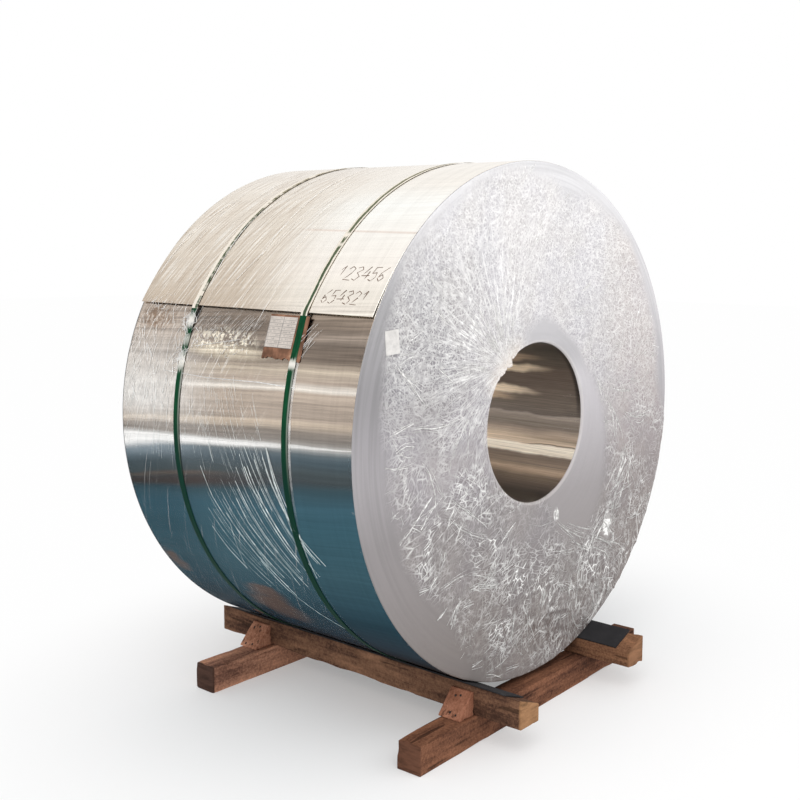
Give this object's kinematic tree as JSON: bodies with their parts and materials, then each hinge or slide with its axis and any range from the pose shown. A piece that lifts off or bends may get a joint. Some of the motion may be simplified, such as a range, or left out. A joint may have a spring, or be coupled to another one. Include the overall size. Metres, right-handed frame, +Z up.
{
  "type": "packed steel coil",
  "caption": "Wide coil of thin bright metal strip lying on a timber skid, with end discs, clear film, girth straps, wedges and rubber mats.",
  "frame": {"origin": "on the floor, at the middle of the skid", "axes": "+X along the coil axis, out of the front face; -Y the side of the strip free end; +Z up"},
  "size_m": [1.334, 1.6222, 1.7307],
  "materials": {
    "strip_metal": "bright mill finish, near mirror round the girth",
    "grey_disc": "matt",
    "stretch_film": "clear, creased and glossy",
    "green_strap": "satin",
    "brown_card": "matt, torn lower edge",
    "white_label": "matt",
    "timber": "weathered, rough sawn",
    "chock_wood": "rough sawn",
    "rubber": "matt"
  },
  "bodies": {
    "root": {"coil": "strip_metal", "end_disc_front": "grey_disc", "end_disc_back": "grey_disc", "film_front": "stretch_film", "film_girth": "stretch_film", "film_back": "stretch_film", "strap_front": "green_strap", "strap_back": "green_strap", "label_card": "brown_card", "label_sheet": "white_label", "end_sticker": "white_label", "runner_near": "timber", "runner_far": "timber", "beam_front": "timber", "beam_back": "timber", "chock_near_front": "chock_wood", "chock_near_back": "chock_wood", "chock_far_front": "chock_wood", "chock_far_back": "chock_wood", "mat_near": "rubber", "mat_far": "rubber"}
  },
  "joints": []
}
